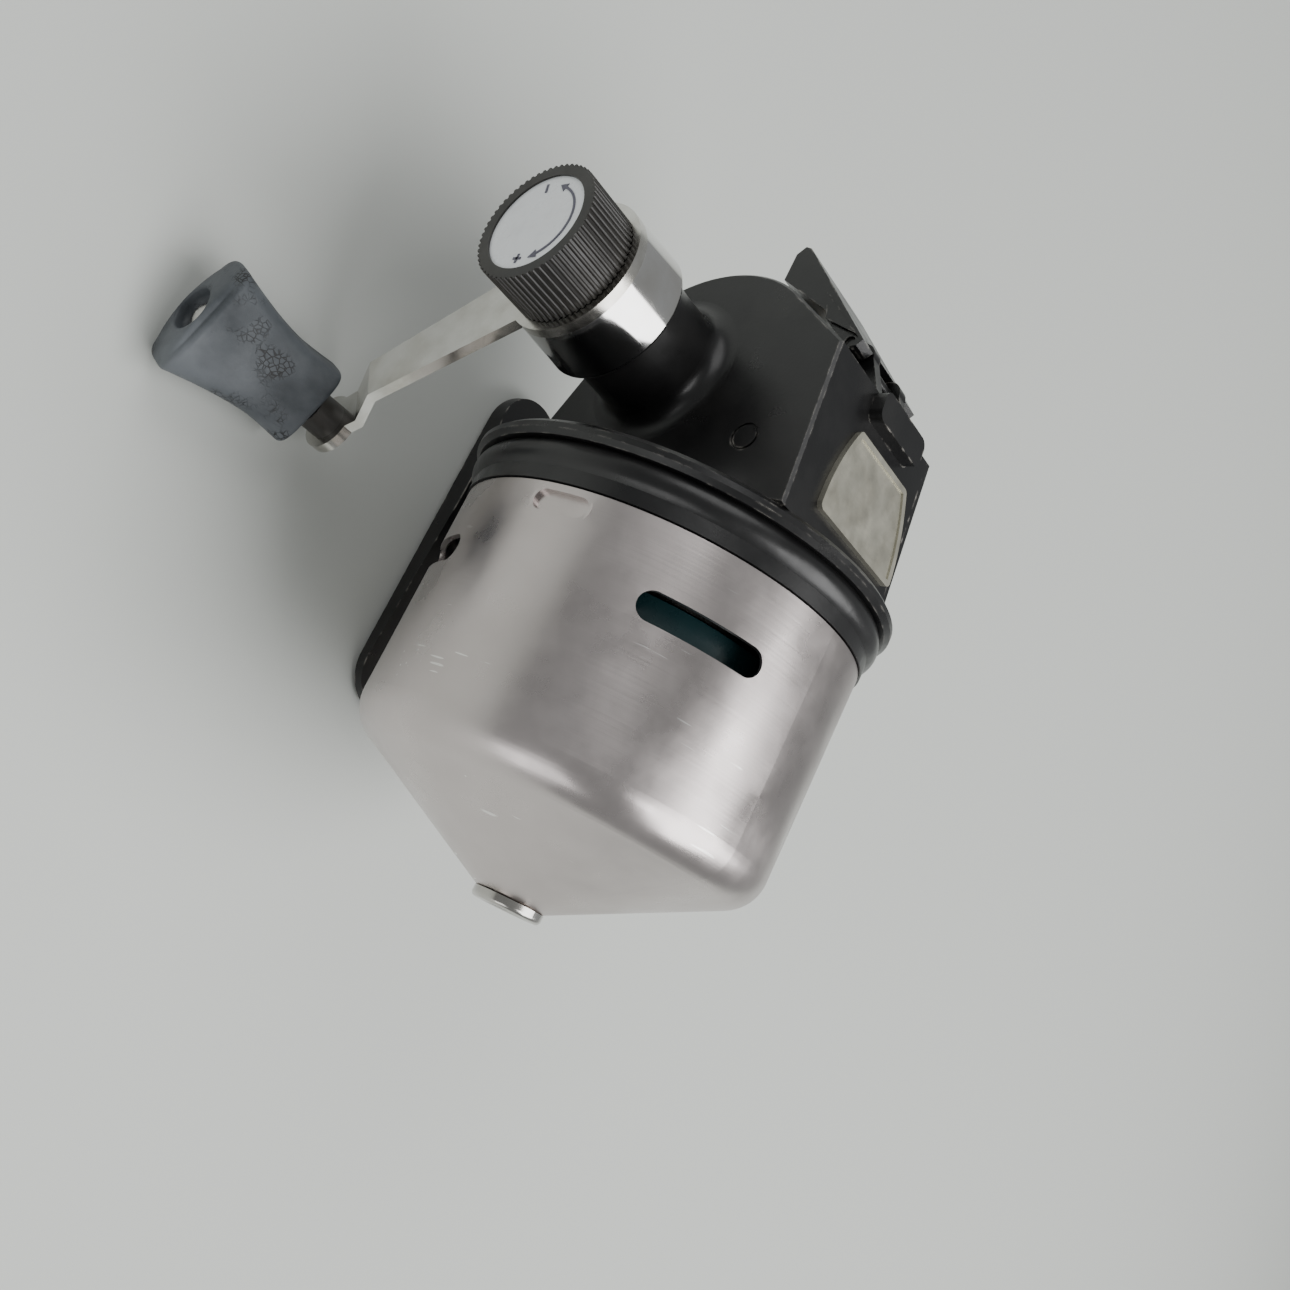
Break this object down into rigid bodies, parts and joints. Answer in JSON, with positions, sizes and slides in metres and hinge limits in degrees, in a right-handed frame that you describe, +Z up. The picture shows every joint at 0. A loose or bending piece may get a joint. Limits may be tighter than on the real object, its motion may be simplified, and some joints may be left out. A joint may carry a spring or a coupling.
{
  "type": "spincast fishing reel",
  "caption": "Closed-face spincast fishing reel with twist-off front cover, crank with drag knob and paddle grip, thumb release lever and rod foot.",
  "frame": {"origin": "centre of the foot's flat underside", "axes": "+X along the reel's axis to the nose, +Y away from the crank, +Z up from the rod"},
  "size_m": [0.1058, 0.096, 0.0795],
  "materials": {
    "black_casting": "satin black paint over die-cast metal, worn at edges",
    "cover_metal": "satin anodised, fine scratches",
    "seal_rubber": "satin black rubber",
    "steel": "plain steel",
    "chrome_sleeve": "bright chrome plate",
    "nickel_arm": "nickel plate, slightly tarnished",
    "knob_plastic": "black ribbed plastic",
    "dial_white": "white printed disc",
    "grip_rubber": "worn grey-black, cracked",
    "plate_metal": "champagne anodised plate",
    "brass": "turned brass",
    "spool_metal": "turned",
    "rotor_finish": "dark blue-green coating",
    "washer_fibre": "oiled fibre",
    "lever_plastic": "satin black moulding"
  },
  "bodies": {
    "frame": {"body_housing": "black_casting", "seal_ring": "seal_rubber", "reel_foot": "black_casting", "foot_screws": "steel", "side_cover": "black_casting", "cover_screws": "steel", "nameplate": "plate_metal", "crank_bush": "brass", "pinion_bush": "brass", "front_bush": "brass", "spool": "spool_metal", "spool_clip": "steel", "lever_pin": "steel", "crank_spacer": "steel"},
    "cover": {"front_cover": "cover_metal", "nose_ring": "steel"},
    "crank": {"crank_shaft": "steel", "drive_gear": "brass", "drag_sleeve": "chrome_sleeve", "drag_washers": "washer_fibre", "drag_plate": "steel", "crank_arm": "nickel_arm", "drag_spring": "steel", "grip_spindle": "steel", "grip_collar": "knob_plastic"},
    "knob": {"drag_knob": "knob_plastic", "dial_label": "dial_white"},
    "paddle": {"grip": "grip_rubber"},
    "lever": {"thumb_lever": "lever_plastic"},
    "button": {"thrust_button": "brass"},
    "rotor": {"centre_shaft": "steel", "spinner_head": "rotor_finish", "rotor_nut": "brass", "spring_collar": "steel", "return_spring": "steel"},
    "pickup": {"pickup_pin": "steel"},
    "pinion_body": {"pinion": "brass"}
  },
  "joints": [
    {"name": "cover_twist", "type": "hinge", "parent": "frame", "child": "cover", "pos_m": [0, 0, 0.046], "axis": [1, 0, 0], "range_deg": [0, 20]},
    {"name": "crank_turn", "type": "hinge", "parent": "frame", "child": "crank", "pos_m": [-0.0271, 0, 0.0436], "axis": [0, 1, 0], "continuous": true},
    {"name": "drag_turn", "type": "hinge", "parent": "crank", "child": "knob", "pos_m": [-0.0271, -0.044, 0.0436], "axis": [0, 1, 0], "range_deg": [-150, 150]},
    {"name": "grip_spin", "type": "hinge", "parent": "crank", "child": "paddle", "pos_m": [-0.00171, -0.05, 0.00596], "axis": [0, 1, 0], "continuous": true},
    {"name": "lever_press", "type": "hinge", "parent": "frame", "child": "lever", "pos_m": [-0.0392, 0, 0.0656], "axis": [0, -1, 0], "range_deg": [0, 9], "stiffness_Nm_per_rad": 0.6},
    {"name": "button_slide", "type": "slide", "parent": "frame", "child": "button", "axis": [1, 0, 0], "range_m": [0, 0.0032]},
    {"name": "rotor_spin", "type": "hinge", "parent": "button", "child": "rotor", "pos_m": [0, 0, 0.046], "axis": [1, 0, 0], "continuous": true, "deforming": ["return_spring"]},
    {"name": "pin_slide", "type": "slide", "parent": "rotor", "child": "pickup", "axis": [0, 0, 1], "range_m": [-0.0024, 0]},
    {"name": "pinion_spin", "type": "hinge", "parent": "frame", "child": "pinion_body", "pos_m": [0, 0, 0.046], "axis": [1, 0, 0], "continuous": true}
  ],
  "couplings": [
    {"joint": "button_slide", "follows": "lever_press", "m_per_rad": 0.02},
    {"joint": "pin_slide", "follows": "lever_press", "m_per_rad": -0.015},
    {"joint": "rotor_spin", "follows": "crank_turn", "ratio": 3},
    {"joint": "pinion_spin", "follows": "crank_turn", "ratio": 3}
  ]
}
